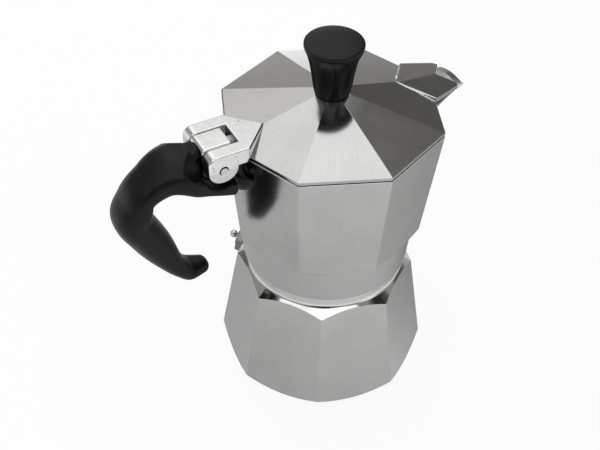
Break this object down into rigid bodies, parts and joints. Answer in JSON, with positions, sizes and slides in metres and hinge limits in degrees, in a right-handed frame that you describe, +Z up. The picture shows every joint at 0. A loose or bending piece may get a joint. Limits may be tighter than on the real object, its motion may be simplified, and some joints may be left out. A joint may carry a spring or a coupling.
{
  "type": "moka pot",
  "caption": "Eight-sided stovetop coffee pot: boiler with safety valve, funnel, seal and filter under a screw-on collector with spout, side handle and hinged knobbed lid.",
  "frame": {"origin": "centre of the boiler's flat underside, on the screw axis", "axes": "+Z up along the screw axis, +X towards the spout, handle and hinge towards -X"},
  "size_m": [0.1566, 0.0908, 0.161],
  "materials": {
    "spun_aluminium": "fine brushed sheen on cast aluminium sides",
    "cast_aluminium": "smooth bright die-cast aluminium with small pits",
    "sheet_aluminium": "satin pressed aluminium sheet",
    "black_plastic": "satin black heat-proof nylon",
    "nickel_brass": "nickel-plated brass",
    "brass": "bare brass",
    "steel": "bright stainless steel",
    "seal_rubber": "off-white food-grade rubber",
    "fibre": "brown fibre washer"
  },
  "bodies": {
    "base": {"boiler": "spun_aluminium", "valve_body": "nickel_brass", "valve_washer": "fibre", "valve_seat": "brass", "valve_spring": "steel"},
    "valve": {"valve_stem": "steel"},
    "funnel": {"funnel_basket": "sheet_aluminium", "funnel_stem": "sheet_aluminium", "funnel_strainer": "sheet_aluminium"},
    "seal": {"gasket": "seal_rubber"},
    "filter": {"filter_plate": "sheet_aluminium"},
    "top": {"collector": "spun_aluminium", "column": "sheet_aluminium", "handle": "black_plastic", "handle_screw": "steel", "hinge_pin": "steel"},
    "lid": {"lid": "spun_aluminium", "knob": "black_plastic", "knob_insert": "brass", "knob_screw": "steel", "knob_washer": "steel"}
  },
  "joints": [
    {"name": "valve_lift", "type": "slide", "parent": "base", "child": "valve", "axis": [-0.5883, 0.795, 0.1479], "range_m": [0, 0.0015], "stiffness_N_per_m": 1200, "springref_m": -0.0015, "deforming": ["valve_spring"]},
    {"name": "funnel_lift", "type": "slide", "parent": "base", "child": "funnel", "axis": [0, 0, 1], "range_m": [0, 0.062]},
    {"name": "thread_rise", "type": "slide", "parent": "funnel", "child": "seal", "axis": [0, 0, 1], "range_m": [0, 0.0091]},
    {"name": "thread_turn", "type": "hinge", "parent": "seal", "child": "filter", "pos_m": [0, 0, 0.0708], "axis": [0, 0, 1], "range_deg": [0, 1080]},
    {"name": "filter_release", "type": "slide", "parent": "filter", "child": "top", "axis": [0, 0, 1], "range_m": [0, 0.016]},
    {"name": "lid_open", "type": "hinge", "parent": "top", "child": "lid", "pos_m": [-0.05184, 0, 0.12614], "axis": [0, -1, 0], "range_deg": [0, 110]}
  ],
  "couplings": [
    {"joint": "thread_rise", "follows": "thread_turn", "m_per_rad": 0.00047746}
  ]
}
